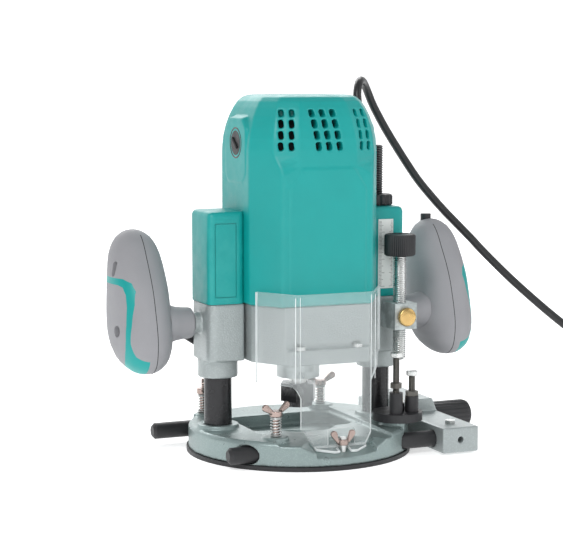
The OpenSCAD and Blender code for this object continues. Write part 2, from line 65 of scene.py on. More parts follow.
cam = bpy.data.objects.new("camera", bpy.data.cameras.new("camera"))
scene.collection.objects.link(cam)
target = Vector((-0.01129, 0.00479, 0.12475))
aim(cam, target + Vector((-0.3879, -0.9142, 0.1174)) * 1.3001, target)
cam.data.sensor_width = 36
cam.data.lens = 113.53
cam.data.clip_end = 30
scene.camera = cam
scene.view_settings.view_transform = "Standard"

world = bpy.data.worlds.new("studio")
scene.world = world
world.use_nodes = True
sky = world.node_tree.nodes["Background"]
sky.inputs["Color"].default_value = (0.96, 0.98, 1, 1)
sky.inputs["Strength"].default_value = 0.5


def softbox(name, place, size, power):
    light = bpy.data.lights.new(name, "AREA")
    light.shape = "RECTANGLE"
    light.size, light.size_y = size
    light.energy = power
    o = bpy.data.objects.new(name, light)
    scene.collection.objects.link(o)
    aim(o, place, (0, 0, 0.12))


softbox("key", (-1.1, -1.3, 1.4), (0.8, 0.8), 17)
softbox("fill", (1.5, -0.9, 0.9), (0.8, 1.2), 5)
softbox("strip", (-0.2, -1.6, 0.35), (1.6, 0.25), 2)
softbox("back", (0.3, 1.6, 1.3), (1.6, 0.8), 16)


# ---- materials ----

def tex_noise(nt, coords, scale, detail=3, rough=0.55, stretch=None):
    if stretch:
        mp = nt.nodes.new("ShaderNodeMapping")
        mp.inputs["Scale"].default_value = stretch
        nt.links.new(coords, mp.inputs["Vector"])
        coords = mp.outputs["Vector"]
    n = nt.nodes.new("ShaderNodeTexNoise")
    n.inputs["Scale"].default_value = scale
    n.inputs["Detail"].default_value = detail
    n.inputs["Roughness"].default_value = rough
    nt.links.new(coords, n.inputs["Vector"])
    return n.outputs["Fac"]


def to_range(nt, value, low, high, a=0.3, b=0.7):
    r = nt.nodes.new("ShaderNodeMapRange")
    r.inputs["From Min"].default_value = a
    r.inputs["From Max"].default_value = b
    r.inputs["To Min"].default_value = low
    r.inputs["To Max"].default_value = high
    nt.links.new(value, r.inputs["Value"])
    return r.outputs["Result"]


def mix_colour(nt, fac, a, b):
    m = nt.nodes.new("ShaderNodeMix")
    m.data_type = "RGBA"
    for socket, value in ((m.inputs[6], a), (m.inputs[7], b)):
        if isinstance(value, tuple):
            socket.default_value = (*value, 1)
        else:
            nt.links.new(value, socket)
    nt.links.new(fac, m.inputs[0])
    return m.outputs[2]


def shade(rgb, k):
    return tuple(min(1, c * k) for c in rgb)


def surface(name, rgb, rough, grain, bump, metal=0.0, blotch=0.07, spread=0.06, wear=None,
            stretch=None, cells=0.0, alpha=1.0):
    """A material with blotchy colour, uneven gloss, a fine relief, with cells a hammered relief and painted
    glints, and, with wear, paler edges.
    """
    m = bpy.data.materials.new(name)
    m.use_nodes = True
    nt = m.node_tree
    b = nt.nodes["Principled BSDF"]
    where = nt.nodes.new("ShaderNodeTexCoord").outputs["Object"]
    big = tex_noise(nt, where, 28, 4)
    colour = mix_colour(nt, to_range(nt, big, 0, 1), shade(rgb, 1 - blotch), shade(rgb, 1 + blotch))
    fine = tex_noise(nt, where, grain, 2, 0.6, stretch)
    if cells:
        v = nt.nodes.new("ShaderNodeTexVoronoi")
        v.inputs["Scale"].default_value = cells
        nt.links.new(where, v.inputs["Vector"])
        # painted glint: the colour is lighter near each cell's point, standing in for light sparkling off the
        # hammered finish
        painted_glint = to_range(nt, v.outputs["Distance"], 1, 0, 0.0, 0.45)
        colour = mix_colour(nt, to_range(nt, painted_glint, 0, 0.55, 0, 1), colour, shade(rgb, 1.55))
        relief = nt.nodes.new("ShaderNodeMath")
        relief.operation = "ADD"
        nt.links.new(v.outputs["Distance"], relief.inputs[0])
        nt.links.new(fine, relief.inputs[1])
        height = relief.outputs["Value"]
    else:
        height = fine
    if wear:
        edge = to_range(nt, nt.nodes.new("ShaderNodeNewGeometry").outputs["Pointiness"], 0, 1, 0.52, 0.6)
        spots = nt.nodes.new("ShaderNodeMath")
        spots.operation = "MULTIPLY"
        nt.links.new(edge, spots.inputs[0])
        nt.links.new(to_range(nt, tex_noise(nt, where, 90, 4), 0, 0.8, 0.42, 0.6), spots.inputs[1])
        colour = mix_colour(nt, spots.outputs["Value"], colour, wear)
    nt.links.new(colour, b.inputs["Base Color"])
    nt.links.new(to_range(nt, tex_noise(nt, where, 130, 3), rough - spread, rough + spread),
                 b.inputs["Roughness"])
    bp = nt.nodes.new("ShaderNodeBump")
    bp.inputs["Strength"].default_value = bump
    bp.inputs["Distance"].default_value = 0.0004
    nt.links.new(height, bp.inputs["Height"])
    nt.links.new(bp.outputs["Normal"], b.inputs["Normal"])
    b.inputs["Metallic"].default_value = metal
    b.inputs["Alpha"].default_value = alpha
    return m


TEAL = (0.0, 0.305, 0.290)
teal = surface("teal_plastic", TEAL, 0.42, 2600, 0.10, blotch=0.04, wear=(0.02, 0.36, 0.34))
grey = surface("grey_grip", (0.29, 0.29, 0.305), 0.62, 3200, 0.30, blotch=0.05)
casting = surface("hammered_casting", (0.34, 0.375, 0.375), 0.36, 700, 0.35, metal=0.45, blotch=0.06,
                  cells=900, wear=(0.62, 0.68, 0.68))
base_paint = surface("base_casting_paint", (0.26, 0.325, 0.32), 0.32, 700, 0.28, metal=0.45, blotch=0.06,
                     cells=900, wear=(0.6, 0.66, 0.66))
black = surface("black_plastic", (0.018, 0.018, 0.02), 0.48, 2400, 0.30, blotch=0.2)
black_steel = surface("black_steel", (0.022, 0.022, 0.024), 0.26, 900, 0.12, metal=0.35, blotch=0.25,
                      stretch=(1, 1, 0.05), wear=(0.25, 0.25, 0.25))
column_steel = surface("column_steel", (0.022, 0.022, 0.024), 0.26, 1500, 0.08, metal=0.3, blotch=0.1,
                       spread=0.03, stretch=(1, 1, 0.04))
zinc = surface("bright_zinc", (0.66, 0.67, 0.66), 0.28, 1200, 0.12, metal=1.0, blotch=0.08)
dark_steel = surface("dark_thread", (0.12, 0.115, 0.105), 0.34, 1500, 0.2, metal=0.9, blotch=0.2)
bronzed = surface("bronzed_steel", (0.40, 0.31, 0.28), 0.24, 1500, 0.15, metal=1.0, blotch=0.15)
brass = surface("turned_brass", (0.62, 0.42, 0.17), 0.27, 1600, 0.12, metal=1.0, blotch=0.1)
copper = surface("wound_copper", (0.45, 0.17, 0.07), 0.35, 300, 0.6, metal=0.9, stretch=(1, 1, 8))
core = surface("sheet_stack", (0.22, 0.22, 0.23), 0.45, 500, 0.6, metal=0.9, stretch=(0.02, 0.02, 6))
carbon = surface("carbon", (0.02, 0.02, 0.02), 0.7, 1800, 0.3)
rubber = surface("cord_rubber", (0.012, 0.012, 0.013), 0.38, 1800, 0.12, blotch=0.2)
# near-black: painted shade inside the housing and in the brush caps' slots, and the grips' dark seam line
shade_and_seam = surface("painted_shade_and_seam", (0.006, 0.007, 0.007), 0.8, 900, 0.3)
label = surface("scale_face", (0.78, 0.79, 0.77), 0.35, 2500, 0.05, blotch=0.03)
ink = surface("scale_ink", (0.02, 0.02, 0.02), 0.5, 2500, 0.05)
clear = surface("clear_sheet", (0.74, 0.79, 0.79), 0.10, 160, 0.02, spread=0.04, blotch=0.03, alpha=0.15)
# painted highlight: a whiter, nearly opaque clear for the sheet's rims, cut edges and bends
clear_highlight = surface("clear_sheet_painted_highlight", (0.86, 0.90, 0.90), 0.16, 300, 0.05, spread=0.04, alpha=0.85)
floor_mat = surface("pale_floor", (0.92, 0.92, 0.92), 0.75, 40, 0.02, blotch=0.01)
glow = floor_mat.node_tree.nodes["Principled BSDF"]
glow.inputs["Emission Color"].default_value = (1, 1, 1, 1)
glow.inputs["Emission Strength"].default_value = 0.5


# ---- mesh tools, in millimetres ----

def make(name, verts, faces, mat, body=None, smooth=True):
    me = bpy.data.meshes.new(name)
    me.from_pydata([(x * MM, y * MM, z * MM) for x, y, z in verts], [], faces)
    me.validate()
    me.materials.append(mat)
    o = bpy.data.objects.new(name, me)
    scene.collection.objects.link(o)
    for p in me.polygons:
        p.use_smooth = smooth
    if body:
        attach(o, body)
    return o


def rings_to_mesh(rings, closed=False):
    """Joins equal rings of points into a tube with ends, or into a closed loop."""
    n = len(rings[0])
    verts = [p for r in rings for p in r]
    faces = []
    count = len(rings)
    for i in range(count if closed else count - 1):
        a, b = i * n, (i + 1) % count * n
        for j in range(n):
            k = (j + 1) % n
            faces.append((a + j, a + k, b + k, b + j))
    if not closed:
        faces.append(tuple(range(n - 1, -1, -1)))
        faces.append(tuple(range((count - 1) * n, count * n)))
    return verts, faces


AXES = {"Z": lambda c, r, a, h: (c[0] + r * math.cos(a), c[1] + r * math.sin(a), c[2] + h),
        "X": lambda c, r, a, h: (c[0] + h, c[1] + r * math.cos(a), c[2] + r * math.sin(a)),
        "Y": lambda c, r, a, h: (c[0] + r * math.sin(a), c[1] + h, c[2] + r * math.cos(a))}


def lathe(name, profile, centre, mat, body, axis="Z", segs=48, lobes=0, depth=0.0, thread=0.0, cut=0.0,
          span=None):
    """Turned piece from (height, radius) pairs. lobes are ribs along it, and thread is a pitch."""
    if thread:
        fine = []
        for (h0, r0), (h1, r1) in zip(profile, profile[1:]):
            steps = max(1, round(abs(h1 - h0) / (thread / 6)))
            fine += [(h0 + (h1 - h0) * i / steps, r0 + (r1 - r0) * i / steps) for i in range(steps)]
        profile = fine + [profile[-1]]
    rings = []
    for h, r in profile:
        ring = []
        for j in range(segs):
            a = 2 * math.pi * j / segs
            q = r
            ribbed = span is None or span[0] <= h <= span[1]
            if lobes and ribbed:
                q -= depth * (0.5 + 0.5 * math.cos(lobes * a)) ** 2
            if thread and ribbed and r > 0.5:
                q -= cut * abs(((h / thread + j / segs) % 1) * 2 - 1)
            ring.append(AXES[axis](centre, q, a, h))
        rings.append(ring)
    v, f = rings_to_mesh(rings)
    return tidy(make(name, v, f, mat, body))


def tidy(o, angle=38):
    """Shades a mesh smooth with sharp edges where it turns by more than the angle."""
    me = o.data
    for p in me.polygons:
        p.use_smooth = True
    if hasattr(me, "set_sharp_from_angle"):
        me.set_sharp_from_angle(angle=math.radians(angle))
    return o


def sweep_rings(path, radius, sides):
    pts = [Vector(p) for p in path]
    t0 = (pts[1] - pts[0]).normalized()
    up = t0.orthogonal().normalized()
    rings = []
    for i, p in enumerate(pts):
        t = (pts[min(i + 1, len(pts) - 1)] - pts[max(i - 1, 0)]).normalized()
        up = (up - t * up.dot(t)).normalized()
        side = t.cross(up)
        r = radius(i) if callable(radius) else radius
        rings.append([tuple(p + (up * math.cos(2 * math.pi * j / sides)
                                 + side * math.sin(2 * math.pi * j / sides)) * r) for j in range(sides)])
    return rings


def sweep(name, path, radius, mat, body, sides=12):
    v, f = rings_to_mesh(sweep_rings(path, radius, sides))
    return tidy(make(name, v, f, mat, body), 60)


def rounded(points, radius, steps=6):
    """A polygon with every corner rounded by that radius, or by its own."""
    out = []
    n = len(points)
    for i, p in enumerate(points):
        r = radius[i] if isinstance(radius, (list, tuple)) else radius
        a, b, c = Vector(points[i - 1]), Vector(p), Vector(points[(i + 1) % n])
        u, w = (a - b).normalized(), (c - b).normalized()
        half = math.acos(max(-1, min(1, u.dot(w)))) / 2
        d = min(r / math.tan(half), (a - b).length * 0.49, (c - b).length * 0.49)
        s, e = b + u * d, b + w * d
        for k in range(steps + 1):
            t = k / steps
            out.append(tuple((1 - t) ** 2 * s + 2 * t * (1 - t) * b + t * t * e))
    return out


def circle(x, y, r, sides):
    angles = [2 * math.pi * i / sides for i in range(sides)]
    return [(x + r * math.cos(a), y + r * math.sin(a)) for a in angles]


def squared(angle, power):
    """The two coordinates of a circle drawn out towards a square, for a power under 1."""
    across, up = math.cos(angle), math.sin(angle)
    return math.copysign(abs(across) ** power, across), math.copysign(abs(up) ** power, up)


def prism(name, outline, low, high, mat=None, plane="XY"):
    """An outline pushed along the axis that its plane leaves out."""
    place = {"XY": lambda p, h: (p[0], p[1], h), "XZ": lambda p, h: (p[0], h, p[1]),
             "YZ": lambda p, h: (h, p[0], p[1])}[plane]
    v, f = rings_to_mesh([[place(p, low) for p in outline], [place(p, high) for p in outline]])
    return make(name, v, f, mat or shade_and_seam, smooth=False)


def baked(o):
    """The object's mesh with its modifiers applied."""
    bpy.context.view_layer.update()
    dg = bpy.context.evaluated_depsgraph_get()
    me = bpy.data.meshes.new_from_object(o.evaluated_get(dg))
    o.modifiers.clear()
    o.data = me
    return o


def fix_normals(o):
    bm = bmesh.new()
    bm.from_mesh(o.data)
    bmesh.ops.recalc_face_normals(bm, faces=bm.faces)
    bm.to_mesh(o.data)
    bm.free()
    return o


def bevel(o, width, segments, angle=30):
    """Broken edges, that wide in millimetres, where the mesh turns by more than the angle."""
    m = o.modifiers.new("edges", "BEVEL")
    m.width = width * MM
    m.segments = segments
    m.limit_method = "ANGLE"
    m.angle_limit = math.radians(angle)
    return m


def boolean(o, others, how):
    for other in others:
        fix_normals(other)
        m = o.modifiers.new("cut", "BOOLEAN")
        m.operation = how
        m.solver = "EXACT"
        m.object = other
    baked(o)
    for other in others:
        bpy.data.objects.remove(other)
    return o


def melt(o, voxel, rounds=6):
    """Makes one skin of everything in the mesh, with softened edges, as casting and moulding leave it."""
    m = o.modifiers.new("skin", "REMESH")
    m.mode = "VOXEL"
    m.voxel_size = voxel * MM
    s = o.modifiers.new("soft", "SMOOTH")
    s.factor = 0.5
    s.iterations = rounds
    baked(o)
    for p in o.data.polygons:
        p.use_smooth = True
    return o


def soften(names, voxel, mat, body, rounds=6):
    """One softened skin over the CAD nodes named."""
    names = names.split()
    verts, faces = [], []
    for name in names:
        me = nodes[name].data
        start = len(verts)
        verts += [tuple(v.co / MM) for v in me.vertices]
        faces += [tuple(start + i for i in p.vertices) for p in me.polygons]
    o = make(names[0] + "_skin", verts, faces, mat)
    melt(o, voxel, rounds)
    o.data.materials.clear()
    o.data.materials.append(mat)
    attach(o, body)
    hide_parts(*names)
    return o


def dress(node, mat, edge=0.0):
    """A CAD node that stays: its material and, if asked, broken edges."""
    o = nodes[node]
    o.data.materials.clear()
    o.data.materials.append(mat)
    tidy(o)
    if edge:
        bevel(o, edge, 2, 40)


def smooth_curve(points, step):
    """Catmull-Rom through the points, with a point every step millimetres or so."""
    p = [Vector(q) for q in points]
    p = [p[0] * 2 - p[1]] + p + [p[-1] * 2 - p[-2]]
    out = []
    for i in range(1, len(p) - 2):
        a, b, c, d = p[i - 1:i + 3]
        n = max(1, round((c - b).length / step))
        for k in range(n):
            t = k / n
            out.append(0.5 * ((2 * b) + (c - a) * t + (2 * a - 5 * b + 4 * c - d) * t * t
                              + (3 * b - a - 3 * c + d) * t ** 3))
    return out + [p[-2]]


# ---- cord ----

CORD_R = 3.1
ROUTE = [(57, 20, 250), (57, 20, 254), (57, 21, 259), (59, 24, 265), (64, 31, 269.4), (72, 42, 268.4),
         (79, 49, 261), (85, 51, 250), (94, 50, 234), (102, 47, 220), (110, 43, 206), (118, 39, 193),
         (127, 35, 181), (137, 31, 169), (147, 27, 158), (157, 23, 147), (167, 20, 136), (187, 12, 115),
         (209, 3, 94), (227, -5, 78), (244, -14, 64), (260, -23, 51), (275, -31, 40), (288, -37, 31),
         (299, -41, 25.5), (309, -43, 22.6), (318, -43.5, 21.7)]
COIL = (318, -8)
# radius and height of each turn of the coil
LANES = [(28.8, 15.5), (35, 15.5), (41.2, 15.5), (41.2, 9.3), (35, 9.3), (28.8, 9.3), (28.8, 3.1),
         (35, 3.1), (41.2, 3.1)]


def ease(t):
    t = max(0.0, min(1.0, t))
    return t * t * (3 - 2 * t)


def coil_points():
    """Eight and a quarter turns, each lane left before the cord comes round to it again."""
    out = []
    per = 72
    for i in range(1, 8 * per + per // 4 + 1):
        whole = i / per
        k = int(whole)
        part = whole - k
        r, z = LANES[k]
        if k < len(LANES) - 1:
            e = ease((part - (0.92 - 0.08 * k)) / 0.08)
            r += (LANES[k + 1][0] - r) * e
            z += (LANES[k + 1][1] - z) * e
        if whole < 0.25:
            r = 35.5 + (28.8 - 35.5) * ease(whole / 0.14)
            z = 21.7 + (15.5 - 21.7) * ease((whole - 0.13) / 0.12)
        a = math.radians(-90 + 360 * whole)
        out.append(Vector((COIL[0] + r * math.cos(a), COIL[1] + r * math.sin(a), z)))
    return out


free = smooth_curve(ROUTE, 4)
coil = coil_points()
TAIL = [(359.2, -2, 3.12), (359.3, 4, 3.2), (359.35, 8, 3.7), (359.4, 11, 4.7), (359.4, 14, 6.3),
        (359.4, 17, 8.0), (359.4, 20, 9.0), (359.4, 23, 9.4), (359.4, 26, 9.5)]
tail = smooth_curve([coil[-1]] + TAIL, 1)
cord_path = free + coil + tail[1:]
cord = sweep("mains_cord", cord_path, CORD_R, rubber, None, 14)
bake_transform(cord)
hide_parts("cord_tube", "cord_coil")
cord_length = sum((b - a).length for a, b in zip(cord_path, cord_path[1:])) * MM
print("cord length", round(cord_length, 3))

plug_body = []
for k, (y, hw, hh) in enumerate([(26, 6, 5), (27, 9, 7.6), (29, 11.8, 8.8), (32, 12.8, 9.2), (45, 12.2, 8.6),
                                 (52, 11.6, 8.4), (58, 12.4, 9.1), (62, 12.9, 9.3), (63.6, 12.4, 9),
                                 (64, 11.4, 8)]):
    corners = [squared(2 * math.pi * j / 40, 0.62) for j in range(40)]
    plug_body.append([(PLUG_X + hw * across, y, PLUG_Z + hh * up) for across, up in corners])
v, f = rings_to_mesh(plug_body)
plug = tidy(fix_normals(make("plug_body", v, f, black, "base")), 50)
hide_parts("plug")
sleeve = [p for p in tail if p.y >= 15.5]
RIB_DEPTH = 0.45
relief = sweep("plug_relief", sleeve,
               lambda i: 3.5 + 2.2 * i / len(sleeve) - (RIB_DEPTH if i % 3 == 2 else 0), black, "base", 28)
PIN_SPREAD = 9.5
PIN = [(0, 2.4), (17, 2.4), (18.6, 1.6), (19, 0.6)]
pins = lathe("plug_pins", PIN, (PLUG_X - PIN_SPREAD, 63, PLUG_Z), zinc, "base", "Y", 24)
pin_b = lathe("plug_pin_b", PIN, (PLUG_X + PIN_SPREAD, 63, PLUG_Z), zinc, "base", "Y", 24)

guard_profile = [(0, 6.6), (2, 6.6), (2.6, 6.0)]
for i in range(8):
    z = 3.4 + 4.1 * i
    r = 6.2 - 0.32 * i
    guard_profile += [(z, r - 0.7), (z + 0.3, r), (z + 2.4, r - 0.2), (z + 2.7, r - 0.9)]
guard = lathe("cord_guard_ribs", guard_profile + [(36, 3.5)], (57, 20, 214), rubber, "motor", "Z", 36)
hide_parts("cord_guard")


# ---- motor housing ----

# height, and the outline's scale there
LEVELS = [(112, 0.985), (113, 1), (170, 1), (205, 1), (210, 1), (214, 1), (218, 1), (222, 0.998),
          (230, 0.984), (238, 0.95), (245, 0.905), (251, 0.85), (255.5, 0.795), (258.5, 0.73), (259.7, 0.66),
          (260, 0.56)]


def housing_outline(z):
    t = ease((z - 205) / 16)
    front = [(22, -53), (35 + 4 * t, -53 + 7.5 * t), (50, -27)]
    return (front + [(50, 25), (35, 50), (-35, 50), (-50, 25)] + [(-x, y) for x, y in front[::-1]])


def housing_rings(inset=0.0, top=0.0):
    rings = []
    for z, k in LEVELS:
        k -= inset
        corners = [(x * k, (y + 1.5) * k - 1.5) for x, y in housing_outline(z)]
        ring = rounded(corners, [3, 4.5, 5, 5, 6, 6, 5, 5, 4.5, 3], 5)
        rings.append([(x, y, z - top) for x, y in ring])
    return rings


v, f = rings_to_mesh(housing_rings())
housing = make("motor_housing_shell", v, f, teal)


def pad_rings(s):
    rings = []
    for x, grow in ((30, 3.5), (46, 1.2), (49.6, 0), (50.6, -1.4)):
        out = rounded([(-23 - grow, 203 - grow), (-15, 197 - grow), (12, 197 - grow), (17 + grow, 203 - grow),
                       (17 + grow, 236), (9, 244 + grow), (-15, 244 + grow), (-23 - grow, 236)], 6, 5)
        rings.append([(s * x, y, z) for y, z in out])
    return rings


adds = []
for s in (-1, 1):
    v, f = rings_to_mesh(pad_rings(s))
    adds.append(make(f"pad{s}", v, f, teal))
front = []
for y, grow in ((-50, 1.2), (-52.9, 0.7), (-53.7, -0.3)):
    out = rounded([(-29 - grow, 113), (29 + grow, 113), (29 + grow, 195), (20 + grow, 209 + grow),
                   (-20 - grow, 209 + grow), (-29 - grow, 195)], 3, 4)
    front.append([(x, y, z) for x, z in out])
v, f = rings_to_mesh(front)
adds.append(make("front_panel", v, f, teal))
adds.append(prism("boss", rounded([(44, 14), (64, 14), (64, 28), (44, 28)], 4), 200, 214))
boolean(housing, adds, "UNION")


def vent_cutters():
    out = []

    def slot(place, turn, lean, w, h):
        outline = rounded([(-w / 2, -h / 2), (w / 2, -h / 2), (w / 2, h / 2), (-w / 2, h / 2)], 0.8, 3)
        o = prism("slot", outline, -14, 14, shade_and_seam, "XZ")
        rot = Matrix.Rotation(turn, 4, "Z") @ Matrix.Rotation(lean, 4, "Y")
        o.data.transform(Matrix.Translation(Vector(place) * MM) @ rot)
        out.append(o)

    rows = [(224.5, 6.0), (232.3, 6.0), (240.1, 6.0), (247.4, 5.2)]
    for y in (-52, 49):
        for i in (-1, 0, 1):
            for z, h in rows:
                slot((i * 8.0 - 1 + (z - 238) * -0.14, y, z), 0, math.radians(-8), 4.3, h)
    for s in (-1, 1):
        angle = math.atan2(7.5 * s, 17)
        for i in (-0.5, 0.5):
            for z, h in rows:
                along = Vector((math.cos(angle), math.sin(angle), 0))
                slot(Vector((s * 30.5, -48.6, z)) + along * (i * 7.4), angle, math.radians(8 * s), 3.7, h)
                slot((s * 30.5 + i * 7.4, 48, z), 0, math.radians(-8), 3.7, h)
    return out


slots = vent_cutters()
verts, faces = [], []
for o in slots:
    base_index = len(verts)
    verts += [tuple(p.co / MM) for p in o.data.vertices]
    faces += [tuple(base_index + i for i in p.vertices) for p in o.data.polygons]
for o in slots:
    bpy.data.objects.remove(o)
cutters = make("slots", verts, faces, shade_and_seam, smooth=False)
fix_normals(housing)
boolean(housing, [cutters], "DIFFERENCE")
melt(housing, 0.75, 3)
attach(housing, "motor")
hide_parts("motor_housing")
# a near-black shell just inside the housing, 5 mm lower: painted shade seen through the vents
v, f = rings_to_mesh(housing_rings(0.13, 5))
make("housing_painted_shade_liner", v, f, shade_and_seam, "motor")

for s in (-1, 1):
    side = "left" if s < 0 else "right"
    place = (BRUSH[0] * s, *BRUSH[1:])
    cap = lathe(f"brush_cap_{side}",
                [(0, 9.2), (s * 0.01, 9.3), (s * 4.4, 9.3), (s * 5.2, 8.6), (s * 5.2, 3)],
                place, black, "motor", "X", 48)
    lathe(f"brush_ring_{side}",
          [(0, 9.5), (0, 11.6), (s * 4.6, 11.6), (s * 5.2, 11), (s * 5.2, 10.2), (s * 4.7, 9.6)],
          place, black_steel, "motor", "X", 48)
    # a near-black plate at the cap's end: painted shade in its slot
    slot_shade = prism(f"brush_slot_painted_shade_{side}", rounded([(-5.6, -0.9), (5.6, -0.9), (5.6, 0.9), (-5.6, 0.9)], 0.5, 2),
                  -0.9, 0.25, shade_and_seam, "XY")
    turn = Matrix.Rotation(math.radians(90), 4, "Y") @ Matrix.Rotation(math.radians(-52), 4, "Z")
    slot_shade.data.transform(Matrix.Translation(Vector((50.9 * s, *BRUSH[1:])) * MM) @ turn)
    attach(slot_shade, "motor")
    if s < 0:
        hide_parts("brush_caps")


# ---- covers over the columns ----

for s, node in ((-1, "cover_left"), (1, "cover_right")):
    x0, x1 = (-77, -49.5) if s < 0 else (49.5, 77)
    body_rings = []
    for z, g in ((112.2, 0.4), (112.9, 0), (174.5, 0), (176.6, 0.7), (177.7, 2.0), (178, 3.8)):
        body_rings.append([(x, y, z) for x, y in rounded(
            [(x0 + g * (s < 0), -19 + g), (x1 - g * (s > 0), -19 + g), (x1 - g * (s > 0), 19 - g),
             (x0 + g * (s < 0), 19 - g)], 5 - g * 0.5, 6)])
    v, f = rings_to_mesh(body_rings)
    cover = tidy(fix_normals(make(node + "_shell", v, f, teal)), 50)
    if s < 0:
        frame_out = rounded([(-72.5, 117), (-56, 117), (-56, 170), (-72.5, 170)], 1.2, 3)
        frame_in = rounded([(-71.8, 117.7), (-56.7, 117.7), (-56.7, 169.3), (-71.8, 169.3)], 1, 3)
        outer = prism("groove", frame_out, -20, -18.4, shade_and_seam, "XZ")
        inner = prism("groove_in", frame_in, -21, -17, shade_and_seam, "XZ")
        fix_normals(outer)
        boolean(outer, [inner], "DIFFERENCE")
        boolean(cover, [outer], "DIFFERENCE")
        tidy(cover, 50)
    else:
        hole = prism("rod_hole", circle(*ROD[:2], 5.4, 40), 170, 190)
        boolean(cover, [hole], "DIFFERENCE")
        tidy(cover, 50)
    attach(cover, "motor")
    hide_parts(node)

TICK = 0.12
tick_verts, tick_faces = [], []
for i in range(0, 49):
    z = 119.5 + i
    length = 4.6 if i % 10 == 0 else (3.4 if i % 5 == 0 else 2.2)
    for xa, xb in ((56.0, 56.0 + length), (67.0 - length * 0.6, 67.0)):
        n = len(tick_verts)
        corners = ((xa, z - TICK), (xb, z - TICK), (xb, z + TICK), (xa, z + TICK))
        tick_verts += [(x, -19.66, h) for x, h in corners]
        tick_faces.append((n, n + 1, n + 2, n + 3))
make("scale_ticks", tick_verts, tick_faces, ink, "motor", smooth=False)


# ---- grips ----

# height, the middle's y, half the depth and half the thickness
GRIP = [(63.7, -3.2, 0.6, 0.5), (64.3, -3.1, 6.5, 4.8), (66, -2.4, 12.5, 9), (69, -1.2, 18.2, 12.8),
        (72, 0, 22, 15.6), (77, 2, 26, 18.2), (84, 4.6, 29.8, 20.2), (92, 7, 32, 21), (101, 9, 32, 21),
        (110, 10.2, 30.4, 20.9), (122, 11.8, 27.7, 20.5), (134, 14.8, 24.2, 19.6), (145, 18, 20, 18.2),
        (152, 19.6, 17, 16.2), (158, 20.8, 12.9, 12.9), (162, 21.6, 8.4, 8.6), (164, 22, 4, 4.2),
        (164.5, 22.1, 0.6, 0.6)]
# the green band seen from the side, as y and z
TRIM = [(48, 132), (-3, 132), (-9, 129.5), (-13, 124), (-15.5, 115), (-17.3, 100), (-17.8, 88), (-20, 79),
        (-26, 72), (-35, 67), (-35, 58), (48, 58), (48, 68), (6, 68.5), (-3, 70.5), (-9.5, 75.5), (-13, 83),
        (-13.8, 90), (-13.2, 100), (-11.5, 113), (-9, 121), (-5, 126.2), (0, 127.5), (48, 127.5)]
# the opening that the trigger travels in
GAP = [(109, 101), (127, 101), (127, 129), (109, 129)]
GAP_DEPTH = (18, 60)
GRIP_POWER = 0.86
# from the grip's middle to the seam between its shells
SEAM_IN = 2.8
grip_curve = [(p.x, p.y, p.z) for p in smooth_curve([(z, c, b) for z, c, b, a in GRIP], 2.2)]
grip_thick = smooth_curve([(z, a, 0) for z, c, b, a in GRIP], 0.8)


def thickness(z):
    best = min(range(len(grip_thick) - 1), key=lambda i: abs(grip_thick[i].x - z))
    return max(0.4, grip_thick[best].y)


def grip_rings(s):
    rings = []
    for z, c, b in grip_curve:
        a = thickness(z)
        ring = []
        for j in range(64):
            across, along = squared(2 * math.pi * j / 64, GRIP_POWER)
            ring.append((s * GRIP_X + a * across, c + b * along, z))
        rings.append(ring)
    return rings


for s, side in ((-1, "left"), (1, "right")):
    v, f = rings_to_mesh(grip_rings(s))
    shell = fix_normals(make(f"grip_{side}", v, f, grey))
    trim = fix_normals(make(f"grip_trim_{side}", v, f, teal))
    band = rounded(TRIM, 2.2, 3)
    reach = sorted((s * 122.5, s * 150))
    cut_a = prism("band_a", band, *reach, shade_and_seam, "YZ")
    cut_b = prism("band_b", band, *reach, shade_and_seam, "YZ")
    holes = []
    for y, z, r, tall in ((8, 138, 2.4, 3), (-3, 95, 4.2, 0)):
        outline = [(y + r * math.cos(a), z + r * math.sin(a) + math.copysign(tall, math.sin(a)))
                   for a in [2 * math.pi * (i + 0.5) / 32 for i in range(32)]]
        lo, hi = (-150, -128) if s < 0 else (128, 150)
        holes.append(prism("hole", outline, lo, hi, shade_and_seam, "YZ"))
    if s > 0:
        holes.append(prism("trigger_gap", rounded(GAP, 2.5), *GAP_DEPTH, shade_and_seam, "XZ"))
        holes.append(prism("button_hole", circle(118, 26, 4.3, 32), 146, 175))
    boolean(shell, [cut_a] + holes, "DIFFERENCE")
    boolean(trim, [cut_b], "INTERSECT")
    if s > 0:
        fix_normals(trim)
        boolean(trim, [prism("trigger_gap2", GAP, *GAP_DEPTH, shade_and_seam, "XZ")], "DIFFERENCE")
    for o, slot_name, node in ((shell, "grey_plastic", f"handle_{side}_shells"),
                               (trim, "green_plastic", f"handle_{side}_trim")):
        tidy(o, 30)
        bevel(o, 0.35, 2, 35)
        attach(o, "motor")
        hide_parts(node)
    seam = []
    for z, c, b in grip_curve[4:-5]:
        across = min(0.6, SEAM_IN / thickness(z)) ** (1 / GRIP_POWER)
        seam.append((s * (GRIP_X - SEAM_IN), c - b * (1 - across ** 2) ** (GRIP_POWER / 2) + 0.12, z))
    sweep(f"grip_seam_{side}", seam, 0.28, shade_and_seam, "motor", 6)
    neck = [(s * 103, 13.6), (s * 99.5, 13.4), (s * 96.5, 12.3), (s * 91, 11.5), (s * 86, 11.2),
            (s * 84.6, 10.9), (s * 84, 10.2)]
    lathe(f"grip_neck_{side}", [(x - s * 84, r) for x, r in neck], (s * 84, 0, 98), grey, "motor", "X", 56)


# ---- castings ----

